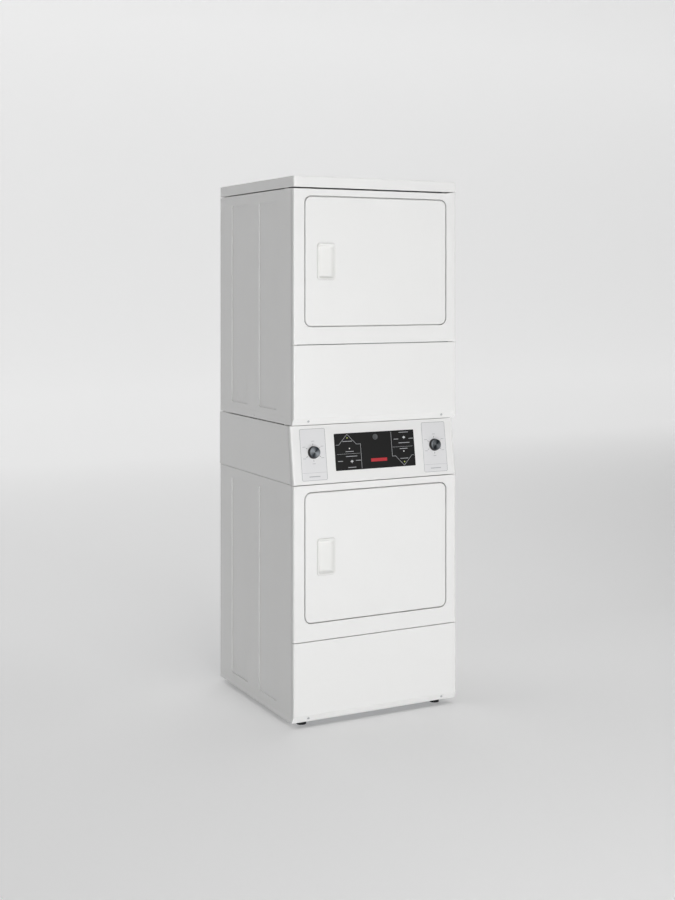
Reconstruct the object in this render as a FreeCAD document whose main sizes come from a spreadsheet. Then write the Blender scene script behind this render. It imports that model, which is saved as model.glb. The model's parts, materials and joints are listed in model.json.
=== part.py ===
import FreeCAD, Part
import math
import os

import Sketcher
from FreeCAD import Placement, Rotation, Vector

# Stacked double tumble dryer: two identical dryers, one above the other, with a shared control
# console between them. Millimetres, +X to the viewer's right, the front faces -Y, +Z up. The origin
# is on the floor under the middle of the whole machine.
#
# Most sub-parts are drawn in the frame of the dryer they belong to: x across from the middle, y back
# from the face of the front panels, z up from the underside of that dryer. Pieces on the console are
# drawn on its leaning face: z runs up the slope and -y stands straight out of it.

DIMENSIONS = {
    # Cabinet
    "cabinet_width": 683,      # outer width over the side panels
    "cabinet_depth": 683,      # from the front panel faces to the back of the side panels
    "unit_height": 850,        # one dryer
    "console_height": 214,
    "console_lean": 32,        # how far the console face leans back over its height
    "top_height": 44,
    "foot_height": 20,
    "front_reach": 4,          # how far the door handle stands in front of the front panels
    "rear_reach": 18,          # how far the exhaust spigot stands out behind
    "sheet": 1.2,              # steel sheet
    "seam": 3,                 # open joint between neighbouring panels
    "stack_gap": 4,            # shadow gap under the upper dryer and under the top panel
    "panel_wrap": 16,          # return of the front panels round the corner
    "panel_round": 7,          # outer bend radius of the front panels
    "hem_width": 22,           # return flanges of the side panels
    "hem_round": 6,
    "access_height": 288.5,    # height of the joint between access panel and front panel
    "bevel_height": 25,        # kick-back along the bottom of the access panel
    "bevel_setback": 14,
    # Side panel pressings
    "press_front": 141,        # start of the first pressing, behind the front face
    "press_width": 160,
    "press_pitch": 262,        # from one pressing to the next
    "press_bottom": 46,
    "press_top": 38,           # plain strip above a pressing
    "press_depth": 4,
    "press_corner": 8,
    "knockout_radius": 50,
    "strip_height": 27,        # groove along the foot of a side panel
    "strip_groove": 1.6,
    "strip_end": 30,           # from the panel's edges to the ends of the groove
    "dimple_radius": 5,
    "dimple_rise": 13,
    "mark_depth": 0.5,
    "knockout_back": 475,
    # Door
    "door_width": 590,
    "door_height": 466,
    "door_rise": 355,          # underside of the door above the dryer's underside
    "door_corner": 24,
    "door_gap": 3.5,
    "door_proud": 1.5,
    "door_depth": 14,          # back edge of the door panel behind the front face
    "door_edge_round": 4,
    "liner_thick": 2,
    "recess_depth": 20,
    "mouth_width": 440,
    "mouth_height": 350,
    "mouth_rise": 585,         # centre of the loading mouth
    "mouth_corner": 90,
    "seal_width": 12,
    "seal_margin": 8,          # from the mouth's edge to the seal
    "seal_gap": 0.3,
    # Door handle
    "handle_inset": 84,        # from the door's left edge to the middle of the handle
    "handle_width": 76,
    "handle_height": 134,
    "handle_corner": 12,
    "handle_pocket": 11,       # depth of the finger pocket behind the door's face
    "handle_rim": 8,
    "handle_clearance": 0.5,
    # Door hinge
    "hinge_inset": 10.5,       # from the door's right edge to the pin
    "hinge_back": 3.5,         # pin behind the front face
    "pin_radius": 2,
    "pin_clearance": 0.05,
    "eye_radius": 3.6,
    "hinge_top": 66,           # below the top of the door
    "hinge_bottom": 76,        # above the underside of the door
    "lug_thick": 3,
    "eye_height": 16,
    "lug_gap": 0.4,
    # Drum and its rollers
    "drum_radius": 308,
    "drum_rise": 519,
    "drum_front": 60,
    "drum_length": 560,
    "baffle_height": 70,
    "baffle_width": 60,
    "bulkhead_back": 48,       # front bulkhead behind the front face
    "bulkhead_bottom": 32,
    "bulkhead_drop": 8,        # top of the bulkheads below the dryer's top
    "rear_bulkhead_gap": 6,
    "ring_gap": 2.8,           # felt gap between a bulkhead ring and the drum
    "ring_wall": 4,
    "ring_overlap": 12,
    "roller_radius": 30,
    "roller_width": 25,
    "roller_angle": 40,        # from straight down, seen along the drum's axis
    "roller_inset": 20,        # from the drum's rear edge
    "axle_radius": 5,
    "running_gap": 0.3,        # between rolling surfaces
    "bore_clearance": 0.05,
    # Drive
    "motor_across": -60,
    "motor_rise": 105,
    "motor_radius": 65,
    "motor_front": 250,
    "motor_length": 150,
    "shaft_radius": 6.35,
    "pulley_radius": 12,
    "pulley_width": 12,
    "pulley_back": 428,
    "belt_width": 6,
    "belt_thick": 2,
    "idler_radius": 20,
    "idler_along": 0.45,       # place along the belt's straight run, from pulley to drum
    "idler_arm_width": 22,
    "idler_arm_thick": 3,
    # Blower, filter and exhaust
    "blower_front": 60,
    "blower_depth": 72,
    "blower_radius": 86,
    "wheel_radius": 70,
    "wheel_depth": 56,
    "inlet_radius": 45,
    "duct_across": 150,
    "duct_rise": 111,
    "duct_radius": 50.8,
    "filter_width": 216,
    "filter_depth": 18,
    "filter_height": 150,
    "filter_gap": 1.5,
    "filter_back": 26,
    # Console face, measured up the slope
    "plate_width": 102,
    "plate_height": 186,
    "plate_inset": 36,         # from the side of the machine to the knob plate
    "plate_rise": 14.5,
    "plate_thick": 1,
    "plate_corner": 5,
    "overlay_width": 335,
    "overlay_height": 134,
    "overlay_rise": 43,
    "overlay_thick": 1.2,
    "overlay_corner": 3,
    "knob_rise": 115,
    "knob_radius": 23,
    "knob_height": 12,
    "cap_radius": 20.5,
    "cap_height": 5,
    "knob_shaft": 3,
    "board_back": 14,
    "button_radius": 9,
    "button_proud": 0.8,
    "left_button_rise": 74,
    "right_button_rise": 150,
    "light_radius": 2.2,
    "port_radius": 10.5,
    "foot_radius": 18,
    "screw_radius": 4.5,
    "screw_inset": 62,
    "screw_head": 1.6,
    "foot_inset": 60,          # from the sides, the front faces and the back to a foot
    "foot_plate": 6,
    "stem_radius": 6,
    "weld": 0.2,               # how far joined solids run into each other
    # Rear panel
    "rear_gap": 0.5,           # each side of the rear panel, to the round of the hem
    "cover_across": -200,      # terminal cover
    "cover_rise": 120,
    "cover_width": 120,
    "cover_height": 80,
    "cover_depth": 12,
    "cover_corner": 6,
    "duct_clearance": 1.5,
    "slot_pitch": 210,         # air slots: across, from column to column
    "slot_drop": 190,          # lowest row below the dryer's top
    "slot_rows": 70,           # height over all rows
    "slot_width": 90,
    "slot_height": 5,
    "slot_corner": 2.4,
    # Base, motor cradle, heater and spacers
    "pan_height": 28,
    "pan_gap": 0.1,            # each side of a base pan, to the side panels
    "cradle_width": 90,
    "cradle_inset": 20,        # from each end of the motor
    "heater_width": 260,
    "heater_depth": 44,
    "heater_height": 290,
    "heater_drop": 95,         # underside below the drum's axis
    "spacer_radius": 8,
    "spacer_front": 80,
    "spacer_back": 60,
    # Holes in the bulkheads
    "grille_start": -84,       # first slot over the filter duct
    "grille_drop": 212,        # below the drum's axis
    "grille_width": 8,
    "grille_height": 90,
    "grille_row": 168,
    "air_hole_radius": 9,
    "air_hole_pitch": 36,
    "air_hole_drop": 60,       # lowest row below the drum's axis
    "air_hole_rows": 200,
    # Blower wheel
    "blade_depth": 22,
    "blade_thick": 2,
    # Control board
    "board_inset": 51.5,       # from the sides of the machine
    "board_height": 90,
    "board_thick": 1.6,
    "switch_size": 36,
    "knob_gap": 0.4,           # from the plate to the knob
}

doc = FreeCAD.newDocument("StackedDryer")
sheet = doc.addObject("Spreadsheet::Sheet", "dims")
for row, (alias, size) in enumerate(DIMENSIONS.items(), 1):
    sheet.set(f"A{row}", alias)
    sheet.set(f"B{row}", str(size))
    sheet.setAlias(f"B{row}", alias)
doc.recompute()

# Expressions used in many places
HALF = "dims.cabinet_width / 2"
FRONT = "(dims.front_reach - dims.cabinet_depth - dims.rear_reach) / 2"
LOWER = "dims.foot_height"
CONSOLE = "(dims.foot_height + dims.unit_height)"
UPPER = f"({CONSOLE} + dims.console_height)"
TOP = f"({UPPER} + dims.unit_height)"
LEAN = "atan(dims.console_lean / dims.console_height)"
SIDE_FRONT = "(dims.panel_wrap + dims.seam)"
LEVELS = {"lower": LOWER, "upper": UPPER}
SIDES = {"left": -1, "right": 1}

parts = []


def value(expression):
    """The number that a sheet expression gives now."""
    result = sheet.evalExpression(str(expression))
    return float(getattr(result, "Value", result))


def place(thing, level, across="0", back="0", up="0"):
    """Put a sub-part at a place in the frame of one dryer."""
    thing.setExpression("Placement.Base.x", f"{across}")
    thing.setExpression("Placement.Base.y", f"{FRONT} + {back}")
    thing.setExpression("Placement.Base.z", f"{level} + {up}")


def place_on_console(thing, across, rise):
    """Put a sub-part on the leaning console face, rise up the slope from its lower edge."""
    place(thing, CONSOLE, across, f"({rise}) * sin({LEAN})", f"({rise}) * cos({LEAN})")
    thing.Placement = Placement(thing.Placement.Base, Rotation(Vector(1, 0, 0), -1))
    thing.setExpression("Placement.Rotation.Angle", f"-{LEAN}")


def keep(thing, label):
    """Name a finished sub-part and put it on the list that is written out."""
    thing.Label = label
    parts.append(thing)
    return thing


def new_body(label, groups=False):
    """A body; groups allows it to hold several separate solids."""
    body = doc.addObject("PartDesign::Body", label)
    body.AllowCompound = groups
    return keep(body, label)


def sketch_on(body, role, offset, *outlines):
    """A sketch parallel to one of the body's own planes, holding the given outlines."""
    sketch = body.newObject("Sketcher::SketchObject", "outline")
    sketch.AttachmentSupport = [(origin_item(body, role), "")]
    sketch.MapMode = "FlatFace"
    sketch.setExpression("AttachmentOffset.Base.z", str(offset))
    for outline in outlines:
        outline(sketch)
    return sketch


def hold(sketch, kind, *where, size):
    """A sketch dimension bound to a sheet expression."""
    index = sketch.addConstraint(Sketcher.Constraint(kind, *where, value(size)))
    sketch.setExpression(f"Constraints[{index}]", str(size))


def hold_point(sketch, geometry, point, across, up):
    """Bind one point of a sketch to its two coordinates."""
    hold(sketch, "DistanceX", -1, 1, geometry, point, size=across)
    hold(sketch, "DistanceY", -1, 1, geometry, point, size=up)


def polygon(*corners):
    """Outline with straight sides through the given corners."""
    def draw(sketch):
        points = [Vector(value(across), value(up), 0) for across, up in corners]
        count = len(points)
        first = sketch.GeometryCount
        for index in range(count):
            sketch.addGeometry(Part.LineSegment(points[index], points[(index + 1) % count]), False)
        for index in range(count):
            following = first + (index + 1) % count
            sketch.addConstraint(Sketcher.Constraint("Coincident", first + index, 2, following, 1))
            hold_point(sketch, first + index, 1, *corners[index])
    return draw


def rectangle(left, right, bottom, top):
    """Outline of a plain rectangle between four edges."""
    return polygon((left, bottom), (right, bottom), (right, top), (left, top))


def circle(across, up, radius):
    """Round outline."""
    def draw(sketch):
        centre = Vector(value(across), value(up), 0)
        index = sketch.addGeometry(Part.Circle(centre, Vector(0, 0, 1), value(radius)), False)
        hold_point(sketch, index, 3, across, up)
        hold(sketch, "Radius", index, size=radius)
    return draw


def rounded(across, up, width, height, radius):
    """Outline of a rectangle with round corners, given by its middle and its full sizes."""
    def draw(sketch):
        corners = []
        for turn, (right, top) in enumerate([(1, 1), (-1, 1), (-1, -1), (1, -1)]):
            centre_x = f"{across} + ({right}) * (({width}) / 2 - ({radius}))"
            centre_y = f"{up} + ({top}) * (({height}) / 2 - ({radius}))"
            round_edge = Part.Circle(Vector(value(centre_x), value(centre_y), 0),
                                     Vector(0, 0, 1), value(radius))
            start = turn * math.pi / 2
            arc = Part.ArcOfCircle(round_edge, start, start + math.pi / 2)
            corners.append((sketch.addGeometry(arc, False), centre_x, centre_y))
        for turn in range(4):
            arc = corners[turn][0]
            following = corners[(turn + 1) % 4][0]
            side = Part.LineSegment(sketch.Geometry[arc].EndPoint,
                                    sketch.Geometry[following].StartPoint)
            line = sketch.addGeometry(side, False)
            sketch.addConstraint(Sketcher.Constraint("Tangent", arc, 2, line, 1))
            sketch.addConstraint(Sketcher.Constraint("Tangent", line, 2, following, 1))
        for arc, centre_x, centre_y in corners:
            hold_point(sketch, arc, 3, centre_x, centre_y)
            hold(sketch, "Radius", arc, size=radius)
    return draw


def pad(body, sketch, length, backward=False, middle=False):
    """Extrude a sketch; backward turns it against the sketch's normal."""
    feature = body.newObject("PartDesign::Pad", "pad")
    feature.Profile = sketch
    feature.setExpression("Length", str(length))
    feature.Reversed = backward
    feature.Midplane = middle
    doc.recompute()
    return feature


def pocket(body, sketch, length, backward=False):
    """Cut a sketch into the body and make sure that it takes something away."""
    before = body.Shape.Volume
    feature = body.newObject("PartDesign::Pocket", "pocket")
    feature.Profile = sketch
    feature.setExpression("Length", str(length))
    feature.Reversed = backward
    doc.recompute()
    assert body.Shape.Volume < before, f"{body.Label}: a pocket cuts nothing"
    return feature


def pad_back(body, start, length, *outlines):
    """Extrude outlines drawn across and up, from a depth towards the back."""
    return pad(body, sketch_on(body, "XZ_Plane", f"-({start})", *outlines), length, backward=True)


def cut_back(body, start, length, *outlines):
    """Cut outlines drawn across and up, from a depth towards the back."""
    return pocket(body, sketch_on(body, "XZ_Plane", f"-({start})", *outlines), length)


def pad_up(body, start, length, *outlines):
    """Extrude outlines drawn across and back, from a level upwards."""
    return pad(body, sketch_on(body, "XY_Plane", start, *outlines), length)


def pad_across(body, length, outline):
    """Extrude an outline drawn back and up to both sides of the middle."""
    return pad(body, sketch_on(body, "YZ_Plane", "0", outline), length, middle=True)


def origin_item(body, role):
    """One of the body's own axes or planes."""
    return [item for item in body.Origin.OriginFeatures if item.Role == role][0]


def repeat_along(body, role, length, count):
    """Repeat the body's last feature along one of its axes, over the given length."""
    pattern = body.newObject("PartDesign::LinearPattern", "row")
    pattern.Originals = [body.Group[-2]]
    pattern.Direction = (origin_item(body, role), [""])
    pattern.setExpression("Length", str(length))
    pattern.Occurrences = count
    body.Tip = pattern
    doc.recompute()


def repeat_round(body, count):
    """Repeat the body's last feature evenly round its own Y axis."""
    pattern = body.newObject("PartDesign::PolarPattern", "ring_of")
    pattern.Originals = [body.Group[-2]]
    pattern.Axis = (origin_item(body, "Y_Axis"), [""])
    pattern.Angle = 360
    pattern.Occurrences = count
    body.Tip = pattern
    doc.recompute()


def edge_names(body, test):
    """Names of the body's edges for which test(edge) holds."""
    return [f"Edge{index}" for index, edge in enumerate(body.Shape.Edges, 1) if test(edge)]


def face_names(body, test):
    """Names of the body's faces for which test(face) holds."""
    return [f"Face{index}" for index, face in enumerate(body.Shape.Faces, 1) if test(face)]


def fillet(body, radius, test):
    """Round the edges for which test(edge) holds."""
    feature = body.newObject("PartDesign::Fillet", "round")
    feature.Base = (body.Group[-2], edge_names(body, test))
    feature.setExpression("Radius", str(radius))
    doc.recompute()


def hollow(body, wall, test):
    """Leave a shell of the given wall, open at the faces for which test(face) holds."""
    feature = body.newObject("PartDesign::Thickness", "shell")
    feature.Base = (body.Group[-2], face_names(body, test))
    feature.Value = value(wall)
    feature.setExpression("Value", wall)
    feature.Mode = "Skin"
    feature.Join = "Intersection"
    feature.Reversed = True
    doc.recompute()


def near(one, other):
    """Whether two lengths are the same within a hundredth."""
    return abs(one - other) < 0.01


def runs_along(edge, axis):
    """Whether a straight edge runs along the x, y or z axis."""
    if edge.Curve.TypeId != "Part::GeomLine":
        return False
    direction = edge.tangentAt(edge.FirstParameter)
    return abs(abs(getattr(direction, axis)) - 1) < 1e-6


def local(body, point):
    """A point in the body's own frame."""
    return body.Placement.inverse().multVec(point)


def middle_of(body, item):
    """Middle of an edge or face in the body's own frame."""
    return local(body, item.BoundBox.Center)


def faces_to(body, face, direction):
    """Whether a flat face looks in a direction of the body's own frame."""
    if face.Surface.TypeId != "Part::GeomPlane":
        return False
    normal = body.Placement.Rotation.inverted().multVec(face.normalAt(0, 0))
    return normal.dot(direction) > 0.999


def revolved(body, *corners):
    """Turn a profile of radius and length once round the body's own Y axis."""
    sketch = sketch_on(body, "XY_Plane", "0", polygon(*corners))
    feature = body.newObject("PartDesign::Revolution", "turning")
    feature.Profile = sketch
    feature.ReferenceAxis = (sketch, ["V_Axis"])
    feature.Angle = 360
    doc.recompute()
    return feature


# ---------------------------------------------------------------- outer panels


def front_edges(body):
    """Test for the upright outer edges of a panel whose face looks forward."""
    half = value(HALF)

    def test(edge):
        centre = middle_of(body, edge)
        upright = abs(edge.tangentAt(edge.FirstParameter).z) > 0.5
        return upright and near(abs(centre.x), half) and centre.y < value("dims.panel_wrap") - 1
    return test


def side_panel(unit, side):
    """Side panel: a flanged tray with two upright pressings, a foot strip and a duct knock-out."""
    body = new_body(f"{unit}_{side}_side_panel")
    place(body, LEVELS[unit])
    out = SIDES[side]
    face = f"{out} * {HALF}"
    inner = f"{out} * ({HALF} - dims.hem_width)"
    pad_up(body, "0", "dims.unit_height", rectangle(*((inner, face) if out > 0 else (face, inner)),
                                                    SIDE_FRONT, "dims.cabinet_depth"))
    fillet(body, "dims.hem_round", lambda edge: runs_along(edge, "z")
           and near(middle_of(body, edge).x, value(face)))
    hollow(body, "dims.sheet", lambda item: faces_to(body, item, Vector(-out, 0, 0)))
    tall = "(dims.unit_height - dims.press_bottom - dims.press_top)"
    middle_up = f"dims.press_bottom + {tall} / 2"
    centres = [f"dims.press_front + dims.press_width / 2 + {turn} * dims.press_pitch" for turn in (0, 1)]
    backing = [rounded(centre, middle_up, "dims.press_width + 2 * dims.sheet", f"{tall} + 2 * dims.sheet",
                       "dims.press_corner") for centre in centres]
    sunk = [rounded(centre, middle_up, "dims.press_width", tall, "dims.press_corner")
            for centre in centres]
    offset = f"{out} * ({HALF} - dims.sheet / 2)"
    pad(body, sketch_on(body, "YZ_Plane", offset, *backing), "dims.press_depth + dims.sheet / 2",
        backward=out > 0)
    pocket(body, sketch_on(body, "YZ_Plane", face, *sunk), "dims.press_depth", backward=out < 0)
    ring = [circle("dims.knockout_back", "dims.duct_rise", "dims.knockout_radius"),
            circle("dims.knockout_back", "dims.duct_rise", "dims.knockout_radius - 1.5")]
    level = f"{out} * ({HALF} - dims.press_depth)"
    pocket(body, sketch_on(body, "YZ_Plane", level, *ring), "dims.mark_depth", backward=out < 0)
    strip = rectangle("dims.strip_end", "dims.cabinet_depth - dims.strip_end", "dims.strip_height",
                      "dims.strip_height + dims.strip_groove")
    dimples = [circle(back, "dims.dimple_rise", "dims.dimple_radius") for back in (
        "2 * dims.strip_end", "dims.cabinet_depth / 2", "dims.cabinet_depth - 2 * dims.strip_end")]
    pocket(body, sketch_on(body, "YZ_Plane", face, strip, *dimples), "dims.mark_depth",
           backward=out < 0)


def rear_panel(unit):
    """Rear panel with the exhaust hole, rows of air slots and the terminal cover."""
    body = new_body(f"{unit}_rear_panel")
    place(body, LEVELS[unit])
    back = "dims.cabinet_depth - 2 * dims.sheet"
    edge = f"{HALF} - dims.hem_round - dims.rear_gap"
    pad_back(body, back, "dims.sheet", rectangle(f"-({edge})", edge, "dims.sheet",
                                                 "dims.unit_height - dims.sheet"))
    pad_back(body, "dims.cabinet_depth - dims.sheet - dims.weld", "dims.cover_depth",
             rounded("dims.cover_across", "dims.cover_rise", "dims.cover_width", "dims.cover_height",
                     "dims.cover_corner"))
    cut_back(body, f"{back} - 1", "dims.sheet + 2",
             circle("dims.duct_across", "dims.duct_rise", "dims.duct_radius + dims.duct_clearance"))
    cut_back(body, f"{back} - 1", "dims.sheet + 2", *[
        rounded(f"{column} * dims.slot_pitch", "dims.unit_height - dims.slot_drop", "dims.slot_width",
                "dims.slot_height", "dims.slot_corner") for column in (-1, 0, 1)])
    repeat_along(body, "Z_Axis", "dims.slot_rows", 6)


def front_panel(unit):
    """Front panel: flanged tray with the sunk door recess and the loading mouth."""
    body = new_body(f"{unit}_front_panel")
    place(body, LEVELS[unit])
    bottom = "dims.access_height + dims.seam / 2"
    top = "dims.unit_height - dims.seam / 2"
    pad_up(body, bottom, f"{top} - ({bottom})", rectangle(f"-{HALF}", HALF, "0", "dims.panel_wrap"))
    fillet(body, "dims.panel_round", front_edges(body))
    hollow(body, "dims.sheet", lambda item: faces_to(body, item, Vector(0, 1, 0)))
    middle_up = "dims.door_rise + dims.door_height / 2"
    gap = "2 * dims.door_gap"

    def window(extra):
        return rounded("0", middle_up, f"dims.door_width + {gap} + {extra}",
                       f"dims.door_height + {gap} + {extra}",
                       f"dims.door_corner + dims.door_gap + ({extra}) / 2")
    mouth = rounded("0", "dims.mouth_rise", "dims.mouth_width", "dims.mouth_height", "dims.mouth_corner")
    cut_back(body, "-1", "dims.sheet + 2", window("0"))
    pad_back(body, "0", "dims.recess_depth + dims.sheet", window("0"), window("2 * dims.sheet"))
    pad_back(body, "dims.recess_depth", "dims.sheet", window("dims.sheet"), mouth)


def access_panel(unit):
    """Lower access panel: flanged tray whose bottom edge kicks back."""
    body = new_body(f"{unit}_access_panel")
    place(body, LEVELS[unit])
    top = "dims.access_height - dims.seam / 2"
    pad_across(body, "dims.cabinet_width", polygon(
        ("dims.bevel_setback", "0"), ("dims.panel_wrap", "0"), ("dims.panel_wrap", top),
        ("0", top), ("0", "dims.bevel_height")))
    fillet(body, "dims.panel_round - 1", lambda edge: runs_along(edge, "z")
           and near(middle_of(body, edge).y, 0))
    hollow(body, "dims.sheet", lambda item: faces_to(body, item, Vector(0, 1, 0)))


def top_panel():
    """Lid: shallow tray, open below, on four spacers."""
    body = new_body("top_panel")
    place(body, TOP)
    pad_up(body, "dims.stack_gap", "dims.top_height - dims.stack_gap",
           rectangle(f"-{HALF}", HALF, "0", "dims.cabinet_depth"))
    fillet(body, "dims.panel_round", lambda edge: runs_along(edge, "z"))
    fillet(body, "3", lambda edge: near(edge.BoundBox.ZMin, value(f"{TOP} + dims.top_height"))
           and near(edge.BoundBox.ZMax, value(f"{TOP} + dims.top_height")))
    hollow(body, "dims.sheet", lambda item: faces_to(body, item, Vector(0, 0, -1)))
    pad_up(body, "0", "dims.top_height - dims.sheet / 2", *spacers())


def spacers():
    """Outlines of four round spacers over the side panels' flanges."""
    across = f"{HALF} - dims.hem_width / 2"
    return [circle(f"{side} * ({across})", back, "dims.spacer_radius") for side in (-1, 1)
            for back in ("dims.spacer_front", "dims.cabinet_depth - dims.spacer_back")]


def base_pan(level):
    """Pressed pan between the side panels of one dryer."""
    pan = doc.addObject("Part::Box", "pan_outside")
    edge = "(dims.cabinet_width / 2 - dims.sheet - dims.pan_gap)"
    room = doc.addObject("Part::Box", "pan_inside")
    for box, wall in ((pan, "0"), (room, "dims.sheet")):
        box.setExpression("Length", f"2 * ({edge} - {wall})")
        box.setExpression("Width", f"dims.cabinet_depth - {SIDE_FRONT} - 2 * dims.hem_round - 2 * {wall}")
        box.setExpression("Height", "dims.pan_height")
        place(box, level, f"-({edge} - {wall})", f"{SIDE_FRONT} + dims.hem_round + {wall}",
              f"dims.sheet + {wall}")
    tray = doc.addObject("Part::Cut", "pan")
    tray.Base = pan
    tray.Tool = room
    return tray


def grouped(label, things):
    """One sub-part made of separate solids."""
    group = doc.addObject("Part::Compound", label)
    group.Links = things
    return keep(group, label)


# ---------------------------------------------------------------- drum and drive

REAR_BULKHEAD = "(dims.drum_front + dims.drum_length + dims.rear_bulkhead_gap)"
DRUM_INSIDE = "(dims.drum_radius - dims.sheet)"


def front_bulkhead(unit):
    """Front bulkhead: mouth collar, drum ring and the duct from the lint filter to the blower."""
    body = new_body(f"{unit}_front_bulkhead")
    place(body, LEVELS[unit])
    edge = f"({HALF} - dims.sheet - dims.press_depth - dims.sheet - 2 * dims.pan_gap)"
    tall = "(dims.unit_height - dims.bulkhead_drop - dims.bulkhead_bottom)"

    def mouth(extra):
        return rounded("0", "dims.mouth_rise", f"dims.mouth_width + {extra}",
                       f"dims.mouth_height + {extra}", f"dims.mouth_corner + ({extra}) / 2")
    inlet = circle("dims.motor_across", "dims.motor_rise", "dims.inlet_radius")
    pad_back(body, "dims.bulkhead_back", "dims.sheet",
             rounded("0", f"dims.bulkhead_bottom + {tall} / 2", f"2 * {edge}", tall, "12"))
    cut_back(body, "dims.bulkhead_back - 1", "dims.sheet + 2", mouth("0"))
    collar = "dims.recess_depth + dims.sheet"
    pad_back(body, collar, f"dims.bulkhead_back - {collar} + dims.sheet / 2", mouth("0"),
             mouth("2 * dims.sheet"))
    wide = "dims.filter_width + 2 * dims.filter_gap"
    deep = "dims.filter_depth + 2 * dims.filter_gap"
    front = "(dims.filter_back - dims.filter_gap)"
    crown = "(dims.mouth_rise - dims.mouth_height / 2)"
    foot = "(dims.bulkhead_bottom + 15)"
    duct_tall = f"({crown} - {foot})"
    pad_back(body, f"{front} - dims.sheet", f"dims.bulkhead_back + dims.sheet / 2 - {front} + dims.sheet",
             rounded("0", f"{foot} + {duct_tall} / 2", f"{wide} + 2 * dims.sheet", duct_tall, "2"))
    pocket(body, sketch_on(body, "XY_Plane", f"{crown} + 2", rectangle(
        f"-({wide}) / 2", f"({wide}) / 2", front, f"{front} + {deep}")), f"{duct_tall} - dims.sheet + 2")
    cut_back(body, f"{front} + {deep} - 0.5", "dims.ring_overlap", inlet)
    cut_back(body, f"{front} + {deep} - 0.5", "dims.ring_overlap",
             rounded("dims.grille_start", "dims.drum_rise - dims.grille_drop", "dims.grille_width",
                     "dims.grille_height", "dims.grille_width / 2 - 0.1"))
    repeat_along(body, "X_Axis", "dims.grille_row", 9)
    pad_back(body, "dims.bulkhead_back + dims.sheet / 2", "dims.drum_front - dims.bulkhead_back"
             " - dims.sheet / 2 + dims.ring_overlap",
             circle("0", "dims.drum_rise", f"{DRUM_INSIDE} - dims.ring_gap"),
             circle("0", "dims.drum_rise", f"{DRUM_INSIDE} - dims.ring_gap - dims.ring_wall"))


def roller_place(side):
    """Across and up expressions of one drum roller's axis."""
    reach = "(dims.drum_radius + dims.running_gap + dims.roller_radius)"
    return (f"{SIDES[side]} * {reach} * sin(dims.roller_angle)",
            f"(dims.drum_rise - {reach} * cos(dims.roller_angle))")


def rear_bulkhead(unit):
    """Rear bulkhead: air holes, drum ring and the two roller axles."""
    body = new_body(f"{unit}_rear_bulkhead")
    place(body, LEVELS[unit])
    edge = f"({HALF} - dims.sheet - dims.press_depth - dims.sheet - 2 * dims.pan_gap)"
    tall = "(dims.unit_height - dims.bulkhead_drop - dims.bulkhead_bottom)"
    pad_back(body, REAR_BULKHEAD, "dims.sheet",
             rounded("0", f"dims.bulkhead_bottom + {tall} / 2", f"2 * {edge}", tall, "12"))
    cut_back(body, f"{REAR_BULKHEAD} - 1", "dims.sheet + 2",
             circle("dims.duct_across", "dims.duct_rise", "dims.duct_radius + 2"))
    cut_back(body, f"{REAR_BULKHEAD} - 1", "dims.sheet + 2", *[
        circle(f"{place / 2} * dims.air_hole_pitch", "dims.drum_rise - dims.air_hole_drop",
               "dims.air_hole_radius") for place in (-5, -3, -1, 1, 3, 5)])
    repeat_along(body, "Z_Axis", "dims.air_hole_rows", 6)
    ring_front = "(dims.drum_front + dims.drum_length - dims.ring_overlap)"
    pad_back(body, ring_front, f"{REAR_BULKHEAD} - {ring_front} + dims.sheet / 2",
             circle("0", "dims.drum_rise", f"{DRUM_INSIDE} - dims.ring_gap"),
             circle("0", "dims.drum_rise", f"{DRUM_INSIDE} - dims.ring_gap - dims.ring_wall"))
    roller_front = "(dims.drum_front + dims.drum_length - dims.roller_inset - dims.roller_width)"
    pad_back(body, f"{roller_front} - 4", f"{REAR_BULKHEAD} - {roller_front} + 4 + dims.sheet / 2",
             *[circle(*roller_place(side), "dims.axle_radius") for side in SIDES])


def drum(unit):
    """Drum shell with three baffles along it."""
    body = new_body(f"{unit}_drum")
    place(body, LEVELS[unit], "0", "dims.drum_front", "dims.drum_rise")
    pad_back(body, "0", "dims.drum_length", circle("0", "0", "dims.drum_radius"),
             circle("0", "0", DRUM_INSIDE))
    start = "dims.ring_overlap + 6"
    wall = f"({DRUM_INSIDE} + dims.sheet / 2)"
    root = f"sqrt({wall} * {wall} - dims.baffle_width * dims.baffle_width / 4)"
    pad_back(body, start, f"dims.drum_length - 2 * ({start})", polygon(
        ("-dims.baffle_width / 2", f"-{root}"), ("0", f"-{wall}"), ("dims.baffle_width / 2", f"-{root}"),
        ("dims.baffle_width / 6", f"-{root} + dims.baffle_height"),
        ("-dims.baffle_width / 6", f"-{root} + dims.baffle_height")))
    repeat_round(body, 3)


def wheel(label, level, across, back, up, radius, width, bore):
    """Plain pulley or roller with a bore, its axis along the machine's depth."""
    body = new_body(label)
    place(body, level, across, back, up)
    pad_back(body, "0", width, circle("0", "0", radius), circle("0", "0", bore))
    fillet(body, "1", lambda edge: near(edge.BoundBox.XLength, 2 * value(radius)))
    return body


def drum_roller(unit, side):
    """One of the two rollers under the drum's rear end."""
    across, up = roller_place(side)
    wheel(f"{unit}_{side}_drum_roller", LEVELS[unit], across,
          "dims.drum_front + dims.drum_length - dims.roller_inset - dims.roller_width", up,
          "dims.roller_radius", "dims.roller_width", "dims.axle_radius + dims.bore_clearance")


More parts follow.
